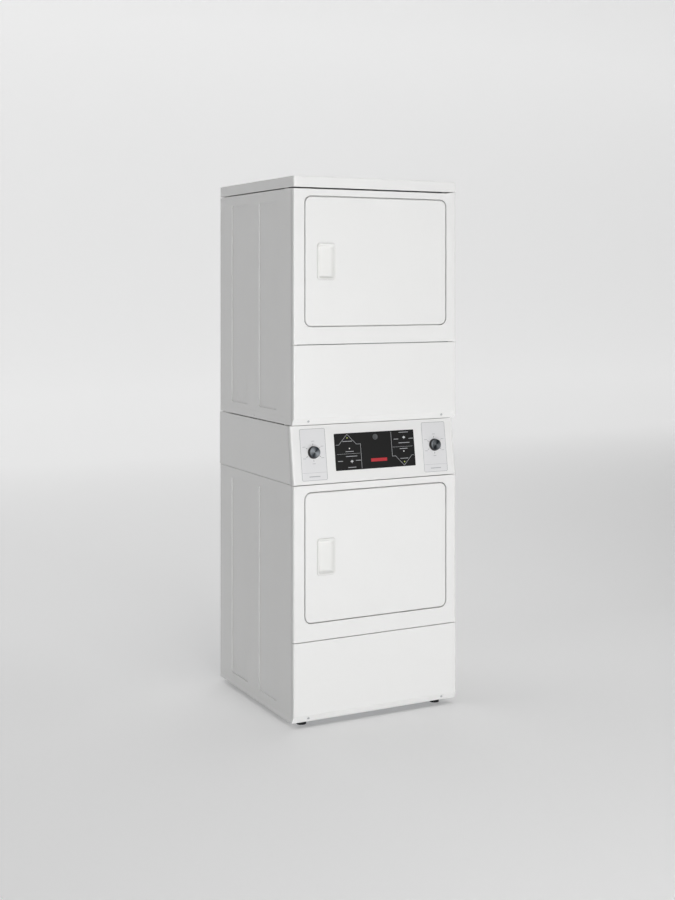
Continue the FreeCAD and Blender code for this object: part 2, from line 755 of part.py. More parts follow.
def motor(level):
    """Motor can on its cradle, bored for the drive shaft."""
    can = doc.addObject("Part::Cylinder", "can")
    can.setExpression("Radius", "dims.motor_radius")
    can.setExpression("Height", "dims.motor_length")
    can.Placement = Placement(Vector(), Rotation(Vector(1, 0, 0), -90))
    place(can, level, "dims.motor_across", "dims.motor_front", "dims.motor_rise")
    cradle = doc.addObject("Part::Box", "cradle")
    cradle.setExpression("Length", "dims.cradle_width")
    cradle.setExpression("Width", "dims.motor_length - 2 * dims.cradle_inset")
    cradle.setExpression("Height", "dims.motor_rise - dims.motor_radius / 2 - 2 * dims.sheet")
    place(cradle, level, "dims.motor_across - dims.cradle_width / 2",
          "dims.motor_front + dims.cradle_inset", "2 * dims.sheet")
    whole = doc.addObject("Part::Fuse", "can_and_cradle")
    whole.Base = can
    whole.Tool = cradle
    bore = doc.addObject("Part::Cylinder", "shaft_bore")
    bore.setExpression("Radius", "dims.shaft_radius + dims.bore_clearance")
    bore.setExpression("Height", "dims.motor_length + 2")
    bore.Placement = Placement(Vector(), Rotation(Vector(1, 0, 0), -90))
    place(bore, level, "dims.motor_across", "dims.motor_front - 1", "dims.motor_rise")
    bored = doc.addObject("Part::Cut", "motor")
    bored.Base = whole
    bored.Tool = bore
    return bored


def drive_shaft(unit):
    """Motor shaft with the blower wheel at its front end and the belt pulley at its rear end."""
    body = new_body(f"{unit}_drive_shaft")
    place(body, LEVELS[unit], "dims.motor_across", "0", "dims.motor_rise")
    front = "(dims.blower_front + dims.sheet + 5)"
    end = "(dims.pulley_back + dims.pulley_width)"
    pad_back(body, front, f"{end} - {front}", circle("0", "0", "dims.shaft_radius"))
    pad_back(body, "dims.pulley_back", "dims.pulley_width", circle("0", "0", "dims.pulley_radius"))
    pad_back(body, f"{front} + dims.wheel_depth - dims.blade_thick", "dims.blade_thick",
             circle("0", "0", "dims.wheel_radius"))
    pad_back(body, front, "dims.wheel_depth", rectangle(
        "dims.wheel_radius - dims.blade_depth", "dims.wheel_radius - 1",
        "-dims.blade_thick / 2", "dims.blade_thick / 2"))
    repeat_round(body, 20)


def blower_housing(unit):
    """Sheet housing round the blower wheel, with an arm across to the exhaust duct."""
    body = new_body(f"{unit}_blower_housing")
    place(body, LEVELS[unit])
    low = "(dims.motor_rise - dims.blower_radius)"
    high = "(dims.duct_rise + dims.duct_radius + 4)"
    far = "(dims.duct_across + dims.duct_radius + 4)"

    def scroll(wall):
        return circle("dims.motor_across", "dims.motor_rise", f"dims.blower_radius - {wall}")

    def arm(wall):
        return rectangle("dims.motor_across", f"{far} - {wall}", f"{low} + {wall}", f"{high} - {wall}")
    pad_back(body, "dims.blower_front", "dims.blower_depth", scroll("0"))
    pad_back(body, "dims.blower_front", "dims.blower_depth", arm("0"))
    inside = "dims.blower_front + dims.sheet"
    cut_back(body, inside, "dims.blower_depth", scroll("dims.sheet"))
    cut_back(body, inside, "dims.blower_depth", arm("dims.sheet"))
    back = "dims.blower_front + dims.blower_depth - dims.sheet"
    pad_back(body, back, "dims.sheet", scroll("0"))
    pad_back(body, back, "dims.sheet", arm("0"))
    cut_back(body, f"{back} - 1", "dims.sheet + 2",
             circle("dims.motor_across", "dims.motor_rise", "dims.shaft_radius + 4"),
             circle("dims.duct_across", "dims.duct_rise", "dims.duct_radius - dims.sheet"))
    cut_back(body, "dims.blower_front - 1", "dims.sheet + 2",
             circle("dims.motor_across", "dims.motor_rise", "dims.inlet_radius"))


def tube(level, across, back, up, outside, inside, length):
    """Plain tube along the machine's depth, cut from two cylinders."""
    cylinders = []
    for radius, extra in ((outside, "0"), (inside, "1")):
        cylinder = doc.addObject("Part::Cylinder", "cylinder")
        cylinder.setExpression("Radius", radius)
        cylinder.setExpression("Height", f"{length} + 2 * {extra}")
        cylinder.Placement = Placement(Vector(), Rotation(Vector(1, 0, 0), -90))
        place(cylinder, level, across, f"{back} - {extra}", up)
        cylinders.append(cylinder)
    wall = doc.addObject("Part::Cut", "tube")
    wall.Base, wall.Tool = cylinders
    return wall


def exhaust_duct(level):
    """Exhaust duct from the blower housing out through the rear panel."""
    start = "(dims.blower_front + dims.blower_depth)"
    return tube(level, "dims.duct_across", start, "dims.duct_rise", "dims.duct_radius",
                "(dims.duct_radius - dims.sheet)", f"(dims.cabinet_depth + dims.rear_reach - {start})")


def heater_box(level):
    """Heater box on the back of the rear bulkhead."""
    outside = doc.addObject("Part::Box", "heater_outside")
    inside = doc.addObject("Part::Box", "heater_inside")
    for box, wall, opening in ((outside, "0", "0"), (inside, "dims.sheet", "1")):
        box.setExpression("Length", f"dims.heater_width - 2 * {wall}")
        box.setExpression("Width", f"dims.heater_depth - {wall} + {opening}")
        box.setExpression("Height", f"dims.heater_height - 2 * {wall}")
        place(box, level, f"-dims.heater_width / 2 + {wall}",
              f"{REAR_BULKHEAD} + dims.sheet - {opening}",
              f"dims.drum_rise - dims.heater_drop + {wall}")
    shell = doc.addObject("Part::Cut", "heater_box")
    shell.Base = outside
    shell.Tool = inside
    return shell


def belt_places():
    """Numbers for the belt's loop: drum and pulley circles, the right-hand run and the idler."""
    drum_at = Vector(0, 0, value("dims.drum_rise"))
    pulley_at = Vector(value("dims.motor_across"), 0, value("dims.motor_rise"))
    large = value("dims.drum_radius + dims.running_gap")
    small = value("dims.pulley_radius + dims.running_gap")
    line = drum_at - pulley_at
    along = math.atan2(line.z, line.x)
    spread = math.acos((small - large) / line.Length)
    return drum_at, pulley_at, large, small, along, spread


def belt_loop(extra):
    """Closed loop round drum and motor pulley, extra outside their rolling circles."""
    drum_at, pulley_at, large, small, along, spread = belt_places()

    def on_circle(centre, radius, angle):
        return centre + Vector(math.cos(angle), 0, math.sin(angle)) * (radius + extra)
    right, left = along - spread, along + spread
    points = [on_circle(pulley_at, small, right), on_circle(drum_at, large, right),
              on_circle(drum_at, large, along), on_circle(drum_at, large, left),
              on_circle(pulley_at, small, left), on_circle(pulley_at, small, along + math.pi)]
    edges = [Part.LineSegment(points[0], points[1]).toShape(),
             Part.Arc(points[1], points[2], points[3]).toShape(),
             Part.LineSegment(points[3], points[4]).toShape(),
             Part.Arc(points[4], points[5], points[0]).toShape()]
    return Part.Wire(edges)


def drum_belt(level):
    """Flat belt round the drum and the motor pulley."""
    belt = doc.addObject("Part::Feature", "belt")
    width = Vector(0, value("dims.belt_width"), 0)
    outside, inside = [Part.Face(belt_loop(extra)).extrude(width)
                       for extra in (value("dims.belt_thick"), 0)]
    belt.Shape = outside.cut(inside)
    place(belt, level, "0", "dims.pulley_back + (dims.pulley_width - dims.belt_width) / 2", "0")
    return belt


def idler_place():
    """Across and up of the idler pulley, which leans on the belt's right-hand run from outside."""
    drum_at, pulley_at, large, small, along, spread = belt_places()
    outward = Vector(math.cos(along - spread), 0, math.sin(along - spread))
    start = pulley_at + outward * small
    end = drum_at + outward * large
    reach = value("dims.belt_thick + dims.running_gap + dims.idler_radius")
    return start + (end - start) * value("dims.idler_along") + outward * reach


def idler_arm(level):
    """Upright arm on the base pan with the idler pulley's pin at its top."""
    centre = idler_place()
    width, thick = value("dims.idler_arm_width"), value("dims.idler_arm_thick")
    foot = value("2 * dims.sheet")
    back = value("dims.pulley_back + dims.pulley_width + 2")
    arm = Part.makeBox(width, thick, centre.z - foot, Vector(centre.x - width / 2, back, foot))
    crown = Part.makeCylinder(width / 2, thick, Vector(centre.x, back, centre.z), Vector(0, 1, 0))
    flange = Part.makeBox(width, 24, thick, Vector(centre.x - width / 2, back, foot))
    length = value("dims.pulley_width") + 4
    pin = Part.makeCylinder(4, length, Vector(centre.x, back - length, centre.z), Vector(0, 1, 0))
    bracket = doc.addObject("Part::Feature", "idler_bracket")
    bracket.Shape = arm.fuse([crown, flange, pin]).removeSplitter()
    place(bracket, level)
    return bracket


def idler_pulley(unit):
    """Idler pulley on the arm's pin."""
    centre = idler_place()
    wheel(f"{unit}_idler_pulley", LEVELS[unit], f"{centre.x}", "dims.pulley_back", f"{centre.z}",
          "dims.idler_radius", "dims.pulley_width", "4 + dims.bore_clearance")


def lint_filter(unit):
    """Lint filter: open frame with a mesh plate and a finger hole along its top."""
    body = new_body(f"{unit}_lint_filter")
    top = "dims.mouth_rise - dims.mouth_height / 2"
    place(body, LEVELS[unit], "0", "dims.filter_back", f"{top} - dims.filter_height")
    middle_up = "dims.filter_height / 2"
    pad_back(body, "0", "dims.filter_depth", rounded("0", middle_up, "dims.filter_width",
                                                    "dims.filter_height", "4"))
    cut_back(body, "-1", "dims.filter_depth - 1", rounded("0", f"{middle_up} - 10", "dims.filter_width - 16",
                                                        "dims.filter_height - 36", "3"))
    cut_back(body, "-1", "dims.filter_depth + 2", rounded("0", "dims.filter_height - 12", "70", "12", "5.9"))


# ---------------------------------------------------------------- door

PIN_ACROSS = "(dims.door_width / 2 - dims.hinge_inset)"
DOOR_MIDDLE = "(dims.door_rise + dims.door_height / 2)"
HANDLE_ACROSS = "(dims.handle_inset - dims.door_width / 2)"
HINGE_RISES = ("(dims.door_rise + dims.hinge_bottom)",
               "(dims.door_rise + dims.door_height - dims.hinge_top)")
HINGE_HALF = "(dims.eye_height / 2 + dims.lug_gap + dims.lug_thick)"


def hinge_notches(left, margin):
    """Outlines, across and up, of the openings that clear the frame-side lugs."""
    return [rectangle(left, "dims.door_width / 2 + 1", f"{rise} - {HINGE_HALF} - {margin}",
                      f"{rise} + {HINGE_HALF} + {margin}") for rise in HINGE_RISES]


def door_panel(unit):
    """Door skin: rounded tray with the handle's window and notches for the hinge lugs."""
    body = new_body(f"{unit}_door_panel")
    place(body, LEVELS[unit])
    pad_back(body, "-dims.door_proud", "dims.door_proud + dims.door_depth",
             rounded("0", DOOR_MIDDLE, "dims.door_width", "dims.door_height", "dims.door_corner"))
    front = value(f"{FRONT} - dims.door_proud")
    fillet(body, "dims.door_edge_round", lambda edge: near(edge.BoundBox.YMax, front))
    hollow(body, "dims.sheet", lambda item: faces_to(body, item, Vector(0, 1, 0)))
    cut_back(body, "-dims.door_proud - 1", "dims.door_depth", rounded(
        HANDLE_ACROSS, DOOR_MIDDLE, "dims.handle_width", "dims.handle_height", "dims.handle_corner"))
    cut_back(body, "1", "dims.door_depth", *hinge_notches(f"{PIN_ACROSS} + 4", "1"))


def door_liner(unit):
    """Flat inner plate that closes the back of the door."""
    body = new_body(f"{unit}_door_liner")
    place(body, LEVELS[unit])
    pad_back(body, "dims.door_depth", "dims.liner_thick", rounded(
        "0", DOOR_MIDDLE, "dims.door_width - 6", "dims.door_height - 6", "dims.door_corner - 3"))
    cut_back(body, "dims.door_depth - 1", "dims.liner_thick + 2", *hinge_notches(f"{PIN_ACROSS} - 36", "1"))


def door_seal(unit):
    """Rubber ring on the liner, round the loading mouth."""
    body = new_body(f"{unit}_door_seal")
    place(body, LEVELS[unit])
    start = "dims.door_depth + dims.liner_thick"

    def ring(reach):
        return rounded("0", "dims.mouth_rise", f"dims.mouth_width + 2 * ({reach})",
                       f"dims.mouth_height + 2 * ({reach})", f"dims.mouth_corner + {reach}")
    pad_back(body, start, f"dims.recess_depth - dims.seal_gap - ({start})", ring("dims.seal_margin"),
             ring("dims.seal_margin + dims.seal_width"))


def door_handle(unit):
    """Moulded pull: a proud rim round a finger pocket."""
    body = new_body(f"{unit}_door_handle")
    place(body, LEVELS[unit])
    wide = "(dims.handle_width - 2 * dims.handle_clearance)"
    tall = "(dims.handle_height - 2 * dims.handle_clearance)"
    pad_back(body, "-dims.front_reach", "dims.front_reach + dims.door_depth", rounded(
        HANDLE_ACROSS, DOOR_MIDDLE, wide, tall, "dims.handle_corner - dims.handle_clearance"))
    front = value(f"{FRONT} - dims.front_reach")
    fillet(body, "2.2", lambda edge: near(edge.BoundBox.YMax, front))
    cut_back(body, "-dims.front_reach - 1", "dims.front_reach + 1 + dims.handle_pocket", rounded(
        HANDLE_ACROSS, DOOR_MIDDLE, f"{wide} - 2 * dims.handle_rim", f"{tall} - 2 * dims.handle_rim",
        "dims.handle_corner - 3"))


def door_hinges(unit):
    """Door-side hinge leaves: a plate behind the skin and an eye round the pin, twice."""
    body = new_body(f"{unit}_door_hinges", groups=True)
    place(body, LEVELS[unit], PIN_ACROSS)
    skin = "(dims.sheet - dims.door_proud)"
    for rise in HINGE_RISES:
        low = f"{rise} - dims.eye_height / 2"
        pad_up(body, low, "dims.eye_height", rectangle("-60", "-5", skin, f"{skin} + 2"))
        pad_up(body, low, "dims.eye_height", rectangle("-8", "0", skin, "dims.hinge_back + 1"))
        pad_up(body, low, "dims.eye_height", circle("0", "dims.hinge_back", "dims.eye_radius - 0.2"))
        bore = sketch_on(body, "XY_Plane", f"{low} - 1",
                         circle("0", "dims.hinge_back", "dims.pin_radius + dims.pin_clearance"))
        pocket(body, bore, "dims.eye_height + 2", backward=True)


def frame_hinges(unit):
    """Frame-side hinge brackets with their pins, and the catch plate in the opposite gap."""
    body = doc.addObject("PartDesign::Body", "frame_hinges")
    body.AllowCompound = True
    place(body, LEVELS[unit], PIN_ACROSS)
    floor = "dims.recess_depth"
    arm = polygon(("-1", "dims.hinge_back - 3"), ("1.6", "dims.hinge_back - 2.4"),
                  ("0.5", "dims.hinge_back + 3.1"), ("-26", floor), ("-38", floor))
    for rise in HINGE_RISES:
        for start in (f"{rise} - {HINGE_HALF}", f"{rise} + {HINGE_HALF} - dims.lug_thick"):
            pad_up(body, start, "dims.lug_thick", arm)
        pad_up(body, f"{rise} - {HINGE_HALF}", f"2 * {HINGE_HALF}",
               circle("0", "dims.hinge_back", "dims.pin_radius"))
        pad_up(body, f"{rise} - {HINGE_HALF}", f"2 * {HINGE_HALF}",
               rectangle("-44", "-24", f"{floor} - 2", floor))
    wall = "(-dims.door_width / 2 - dims.door_gap - (dims.door_width / 2 - dims.hinge_inset))"
    pad_up(body, f"{DOOR_MIDDLE} - 8", "16", rectangle(wall, f"{wall} + 2.4", "4", floor))
    return body


# ---------------------------------------------------------------- console

PLATE_ACROSS = "(dims.cabinet_width / 2 - dims.plate_inset - dims.plate_width / 2)"
BUTTONS = {"left": ("-100", "dims.left_button_rise"), "right": ("124", "dims.right_button_rise")}
LIGHTS = [("-114", "160"), ("-107", "121"), ("121", "99"), ("121", "60")]
PORT = ("3", "158")


def lamp_outlines(gap):
    """Outlines of the four lights and the service port."""
    return [circle(*at, f"dims.light_radius + {gap}") for at in LIGHTS] \
        + [circle(*PORT, f"dims.port_radius + {gap}")]


def button_outlines():
    """Outlines of the two start buttons' holes."""
    return [circle(*at, "dims.button_radius + 0.3") for at in BUTTONS.values()]


def shaft_outlines(radius):
    """Outlines round the two knob shafts."""
    return [circle(f"{side} * {PLATE_ACROSS}", "dims.knob_rise", radius) for side in (-1, 1)]


def console_fascia():
    """Leaning console face: flanged tray with holes for shafts, buttons and lights."""
    body = new_body("console_fascia")
    place_on_console(body, "0", "0")
    foot = f"dims.seam / 2 / cos({LEAN})"
    crown = f"(dims.console_height - dims.stack_gap) / cos({LEAN})"
    deep = f"dims.panel_wrap * cos({LEAN})"
    rise = f"dims.panel_wrap * sin({LEAN})"
    pad_across(body, "dims.cabinet_width", polygon(
        ("0", foot), (deep, f"{foot} + {rise}"), (deep, f"{crown} + {rise}"), ("0", crown)))
    fillet(body, "dims.panel_round", lambda edge: abs(edge.tangentAt(edge.FirstParameter).z) > 0.5
           and near(abs(middle_of(body, edge).x), value(HALF)) and abs(middle_of(body, edge).y) < 1)
    hollow(body, "dims.sheet", lambda item: faces_to(body, item, Vector(0, 1, 0)))
    cut_back(body, "-1", "dims.sheet + 2", *lamp_outlines("0.1"), *button_outlines(),
             *shaft_outlines("dims.knob_shaft + 2"))


def console_housing():
    """Plain casing behind the console face, on four spacers and with four more on top."""
    body = new_body("console_housing")
    place(body, CONSOLE)
    crown = "(dims.console_height - dims.stack_gap)"
    lean = "dims.console_lean / dims.console_height"
    pad_across(body, "dims.cabinet_width", polygon(
        (f"{SIDE_FRONT} + dims.seam / 2 * {lean}", "dims.seam / 2"),
        ("dims.cabinet_depth", "dims.seam / 2"), ("dims.cabinet_depth", crown),
        (f"{SIDE_FRONT} + {crown} * {lean}", crown)))
    angle = math.radians(value(LEAN))
    forward = Vector(0, -math.cos(angle), math.sin(angle))
    hollow(body, "dims.sheet", lambda item: faces_to(body, item, forward))
    pad_up(body, f"{crown} - dims.sheet / 2", "dims.stack_gap + dims.sheet / 2", *spacers())
    pad_up(body, "0", "dims.seam / 2 + dims.sheet / 2", *spacers())


def knob_plates():
    """Two light plates under the knobs."""
    body = new_body("knob_plates", groups=True)
    place_on_console(body, "0", "0")
    plates = [rounded(f"{side} * {PLATE_ACROSS}", "dims.plate_rise + dims.plate_height / 2",
                      "dims.plate_width", "dims.plate_height", "dims.plate_corner") for side in (-1, 1)]
    pad_back(body, "-dims.plate_thick", "dims.plate_thick", *plates,
             *shaft_outlines("dims.knob_shaft + 2"))


def control_overlay():
    """Dark overlay between the knob plates."""
    body = new_body("control_overlay")
    place_on_console(body, "0", "0")
    pad_back(body, "-dims.overlay_thick", "dims.overlay_thick", rounded(
        "0", "dims.overlay_rise + dims.overlay_height / 2", "dims.overlay_width",
        "dims.overlay_height", "dims.overlay_corner"), *lamp_outlines("0.1"), *button_outlines())


def knob(side):
    """Selector knob: a tapered grip and its shaft."""
    body = new_body(f"{side}_knob")
    place_on_console(body, f"{SIDES[side]} * {PLATE_ACROSS}", "dims.knob_rise")
    back = "-dims.plate_thick - dims.knob_gap"
    revolved(body, ("0", f"{back} - dims.knob_height"),
             ("dims.cap_radius", f"{back} - dims.knob_height"),
             ("dims.knob_radius", back), ("dims.knob_shaft", back),
             ("dims.knob_shaft", "dims.board_back - 2"), ("0", "dims.board_back - 2"))


def knob_cap(side):
    """Spun metal cap on a knob."""
    body = new_body(f"{side}_knob_cap")
    place_on_console(body, f"{SIDES[side]} * {PLATE_ACROSS}", "dims.knob_rise")
    seat = "-dims.plate_thick - dims.knob_gap - dims.knob_height"
    revolved(body, ("0", f"{seat} - dims.cap_height"),
             ("dims.cap_radius - 1.5", f"{seat} - dims.cap_height"),
             ("dims.cap_radius", seat), ("0", seat))


def control_board():
    """Circuit board with a rotary switch block behind each knob."""
    body = new_body("control_board")
    place_on_console(body, "0", "0")
    pad_back(body, "dims.board_back", "dims.board_thick",
             rounded("0", "dims.knob_rise", "dims.cabinet_width - 2 * dims.board_inset",
                     "dims.board_height", "3"))
    blocks = [rounded(f"{side} * {PLATE_ACROSS}", "dims.knob_rise", "dims.switch_size",
                      "dims.switch_size", "2") for side in (-1, 1)]
    pad_back(body, "3", "dims.board_back - 2.5", *blocks)
    cut_back(body, "2", "dims.board_back - 3.5", *shaft_outlines("dims.knob_shaft + dims.bore_clearance"))


def start_button(side):
    """Round start button that slides through the overlay and the console face."""
    body = new_body(f"{side}_start_button")
    place_on_console(body, "0", "0")
    front = "-dims.overlay_thick - dims.button_proud"
    pad_back(body, front, "dims.overlay_thick + dims.button_proud + 6",
             circle(*BUTTONS[side], "dims.button_radius"))


def status_lights():
    """Four indicator lights and the round service port."""
    body = new_body("status_lights", groups=True)
    place_on_console(body, "0", "0")
    pad_back(body, "-dims.overlay_thick - 0.4", "dims.overlay_thick + 5", *lamp_outlines("0"))


# ---------------------------------------------------------------- fasteners and feet


def levelling_foot(across, back):
    """Levelling foot: pad and threaded stem."""
    made = []
    sunk = "dims.foot_plate / 2"
    for radius, bottom, length in (("dims.foot_radius", "0", "dims.foot_plate"),
                                   ("dims.stem_radius", sunk, f"dims.foot_height + dims.sheet - {sunk}")):
        cylinder = doc.addObject("Part::Cylinder", "foot")
        cylinder.setExpression("Radius", radius)
        cylinder.setExpression("Height", length)
        place(cylinder, "0", across, back, bottom)
        made.append(cylinder)
    whole = doc.addObject("Part::Fuse", "foot_and_stem")
    whole.Base, whole.Tool = made
    return whole


def bevel_screw(level, side):
    """Screw head standing square on the kicked-back edge of an access panel."""
    head = doc.addObject("Part::Cylinder", "screw")
    head.setExpression("Radius", "dims.screw_radius")
    head.setExpression("Height", "dims.screw_head")
    head.Placement = Placement(Vector(), Rotation(Vector(1, 0, 0), 91))
    share = 0.56      # of the slope, from the bottom
    place(head, level, f"{side} * ({HALF} - dims.screw_inset)",
          f"dims.bevel_setback * {1 - share}", f"dims.bevel_height * {share}")
    head.setExpression("Placement.Rotation.Angle", "90 deg + atan(dims.bevel_setback / dims.bevel_height)")
    return head


# ---------------------------------------------------------------- the machine

for unit in LEVELS:
    for side in SIDES:
        side_panel(unit, side)
        drum_roller(unit, side)
    for make in (rear_panel, front_panel, access_panel, front_bulkhead, rear_bulkhead, drum,
                 drive_shaft, blower_housing, idler_pulley, lint_filter, door_panel, door_liner,
                 door_seal, door_handle, door_hinges):
        make(unit)
for side in SIDES:
    knob(side)
    knob_cap(side)
    start_button(side)
for make in (top_panel, console_fascia, console_housing, knob_plates, control_overlay,
             control_board, status_lights):
    make()
grouped("base_pans", [base_pan(level) for level in LEVELS.values()])
grouped("motors", [motor(level) for level in LEVELS.values()])
grouped("exhaust_ducts", [exhaust_duct(level) for level in LEVELS.values()])
grouped("heater_boxes", [heater_box(level) for level in LEVELS.values()])
grouped("drum_belts", [drum_belt(level) for level in LEVELS.values()])
grouped("idler_arms", [idler_arm(level) for level in LEVELS.values()])
grouped("door_frame_fittings", [frame_hinges(unit) for unit in LEVELS])
grouped("levelling_feet", [levelling_foot(f"{side} * ({HALF} - dims.foot_inset)", back)
                           for side in (-1, 1)
                           for back in ("dims.foot_inset", "dims.cabinet_depth - dims.foot_inset")])
grouped("panel_screws", [bevel_screw(level, side) for level in LEVELS.values() for side in (-1, 1)])
doc.recompute()

for thing in doc.Objects:
    assert not {"Invalid", "Error"} & set(thing.State), f"{thing.Name}: {thing.State}"
os.makedirs("parts", exist_ok=True)
for part in parts:
    shape = part.Shape
    assert not shape.isNull() and shape.isValid() and shape.Volume > 0, part.Label
    shape.exportStep(f"parts/{part.Label}.step")
print(len(parts), "sub-parts")
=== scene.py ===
import json
import math

import bpy
import numpy as np
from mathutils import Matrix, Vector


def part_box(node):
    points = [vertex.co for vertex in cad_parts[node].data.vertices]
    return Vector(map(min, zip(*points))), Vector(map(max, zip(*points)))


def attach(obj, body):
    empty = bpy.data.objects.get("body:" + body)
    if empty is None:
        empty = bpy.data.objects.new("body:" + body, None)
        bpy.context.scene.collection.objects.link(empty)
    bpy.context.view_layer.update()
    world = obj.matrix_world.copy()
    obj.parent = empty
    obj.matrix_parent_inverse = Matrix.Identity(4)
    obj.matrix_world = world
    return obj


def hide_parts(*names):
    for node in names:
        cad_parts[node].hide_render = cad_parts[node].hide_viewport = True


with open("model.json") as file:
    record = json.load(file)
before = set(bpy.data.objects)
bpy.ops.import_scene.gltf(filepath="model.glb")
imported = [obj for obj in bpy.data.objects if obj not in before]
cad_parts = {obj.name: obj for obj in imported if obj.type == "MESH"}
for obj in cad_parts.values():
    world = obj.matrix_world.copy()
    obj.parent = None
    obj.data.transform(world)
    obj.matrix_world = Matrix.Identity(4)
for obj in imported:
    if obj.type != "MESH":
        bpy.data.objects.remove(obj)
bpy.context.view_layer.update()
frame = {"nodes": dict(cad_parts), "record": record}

# ---------------------------------------------------------------- places, in metres
UNITS = ("lower", "upper")
SIDES = ("left", "right")
LEAN = math.atan(32 / 214)                      # the console face leans back
FACE_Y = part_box("lower_front_panel")[0][1]      # plane of the front panels
CONSOLE_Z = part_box("console_housing")[0][2]     # lower edge of the console face
SLOPE_UP = np.array([0, math.sin(LEAN), math.cos(LEAN)])
SLOPE_OUT = np.array([0, -math.cos(LEAN), math.sin(LEAN)])
PLATE_FACE = 0.0010                             # knob plates stand this far out of the slope
OVERLAY_FACE = 0.0012
KNOB_RISE = 0.115
KNOB_ACROSS = 0.2545
PLATE_WIDTH = 0.102
PLATE_RISE = 0.0145
PLATE_HEIGHT = 0.186
OVERLAY_WIDTH = 0.335
OVERLAY_HEIGHT = 0.134
OVERLAY_RISE = 0.043
INK = 0.00015                                   # thickness of printed marks
KNOB_GAP = 0.0004                               # between a knob and its plate
KNOB_HEIGHT = 0.0120
LAMP_RADIUS = 0.0022                            # radius of an indicator lamp


def on_console(across, rise, out):
    """Points of the leaning face: across, up the slope, and straight out of it."""
    across, rise, out = np.broadcast_arrays(across, rise, out)
    x_axis = np.array([1.0, 0, 0])
    origin = np.array([0, FACE_Y, CONSOLE_Z])
    return (origin + across[..., None] * x_axis + rise[..., None] * SLOPE_UP
            + out[..., None] * SLOPE_OUT)


# ---------------------------------------------------------------- materials

def linear(code):
    """An opaque linear colour from an sRGB hex code such as EDEDEC."""
    shares = [int(code[at:at + 2], 16) / 255 for at in (0, 2, 4)]
    return [s / 12.92 if s <= 0.04045 else ((s + 0.055) / 1.055) ** 2.4 for s in shares] + [1.0]


def node(tree, kind, links=None, **settings):
    """Add a node; settings are its properties or inputs, links map its sockets to their sources."""
    made = tree.nodes.new(kind)
    for name, setting in settings.items():
        title = name.replace("_", " ").title()
        if hasattr(made, name):
            setattr(made, name, setting)
        else:
            made.inputs[title].default_value = setting
    for socket, source in (links or {}).items():
        tree.links.new(source, made.inputs[socket])
    return made


def material(name, colour, roughness, metallic=0.0, coat=0.0, grain=0.0, grain_size=0.002,
             height=0.00002, variation=0.03, stretch=(1, 1, 1), emission=0.0, specular=0.5):
    """Principled finish with fine relief and a slight, large-scale change of tone."""
    made = bpy.data.materials.new(name)
    made.use_nodes = True
    tree = made.node_tree
    shader = tree.nodes["Principled BSDF"]
    place = node(tree, "ShaderNodeTexCoord").outputs["Object"]
    scaled = node(tree, "ShaderNodeMapping", {"Vector": place})
    scaled.inputs["Scale"].default_value = stretch
    cloud = node(tree, "ShaderNodeTexNoise", {"Vector": scaled.outputs[0]}, scale=6.0, detail=4.0)
    tone = node(tree, "ShaderNodeMix", {0: cloud.outputs[0]}, data_type="RGBA")
    shade = linear(colour)
    tone.inputs[6].default_value = [part * (1 - variation) for part in shade[:3]] + [1]
    tone.inputs[7].default_value = [min(1, part * (1 + variation)) for part in shade[:3]] + [1]
    tree.links.new(tone.outputs[2], shader.inputs["Base Color"])
    fine = node(tree, "ShaderNodeTexNoise", {"Vector": scaled.outputs[0]}, scale=1 / grain_size,
                detail=3.0)
    rough = node(tree, "ShaderNodeMapRange", {"Value": fine.outputs[0]})
    rough.inputs["To Min"].default_value = max(0.02, roughness - 0.06 - grain / 4)
    rough.inputs["To Max"].default_value = min(1, roughness + 0.06 + grain / 4)
    tree.links.new(rough.outputs[0], shader.inputs["Roughness"])
    relief = node(tree, "ShaderNodeBump", {"Height": fine.outputs[0]}, strength=0.2 + grain,
                  distance=height)
    tree.links.new(relief.outputs[0], shader.inputs["Normal"])
    shader.inputs["Metallic"].default_value = metallic
    shader.inputs["Coat Weight"].default_value = coat
    shader.inputs["Specular IOR Level"].default_value = specular
    shader.inputs["Coat Roughness"].default_value = 0.12
    if emission:
        shader.inputs["Emission Color"].default_value = shade
        shader.inputs["Emission Strength"].default_value = emission
    return made


def spangled(name, colour):
    """Galvanised sheet: flat crystal facets about a centimetre across, some shinier than others."""
    made = material(name, colour, 0.38, metallic=0.9, variation=0.02)
    tree = made.node_tree
    shader = tree.nodes["Principled BSDF"]
    place = node(tree, "ShaderNodeTexCoord").outputs["Object"]
    crystals = node(tree, "ShaderNodeTexVoronoi", {"Vector": place}, scale=90.0)
    share = node(tree, "ShaderNodeMapRange", {"Value": crystals.outputs["Color"]})
    share.inputs["To Min"].default_value = 0.28
    share.inputs["To Max"].default_value = 0.50
    tree.links.new(share.outputs[0], shader.inputs["Roughness"])
    return made


def lathe_rings_and_painted_highlight(made):
    """Turned metal: fine rings round the cap's axis, and sectors of painted highlight and painted shade
    in turn, as the cosine of twice the angle round that axis."""
    tree = made.node_tree
    shader = tree.nodes["Principled BSDF"]
    mapped = node(tree, "ShaderNodeUVMap", uv_map="round_axis").outputs["UV"]
    parts = node(tree, "ShaderNodeSeparateXYZ", {"Vector": mapped})
    rings = node(tree, "ShaderNodeMath", {0: parts.outputs["X"]}, operation="SINE")
    relief = node(tree, "ShaderNodeBump", {"Height": rings.outputs[0]}, strength=0.25, distance=0.00003)
    tree.links.new(relief.outputs[0], shader.inputs["Normal"])
    # painted highlight and painted shade: the base colour runs from dark to light grey with the angle
    # round the cap's axis
    painted_highlight_sectors = node(tree, "ShaderNodeMath", {0: parts.outputs["Y"]}, operation="COSINE")
    share = node(tree, "ShaderNodeMapRange", {"Value": painted_highlight_sectors.outputs[0]})
    share.inputs["From Min"].default_value = -1.0
    tone = node(tree, "ShaderNodeMix", {0: share.outputs[0]}, data_type="RGBA")
    tone.inputs[6].default_value = linear("303337")
    tone.inputs[7].default_value = linear("8E9296")
    tree.links.new(tone.outputs[2], shader.inputs["Base Color"])
    return made


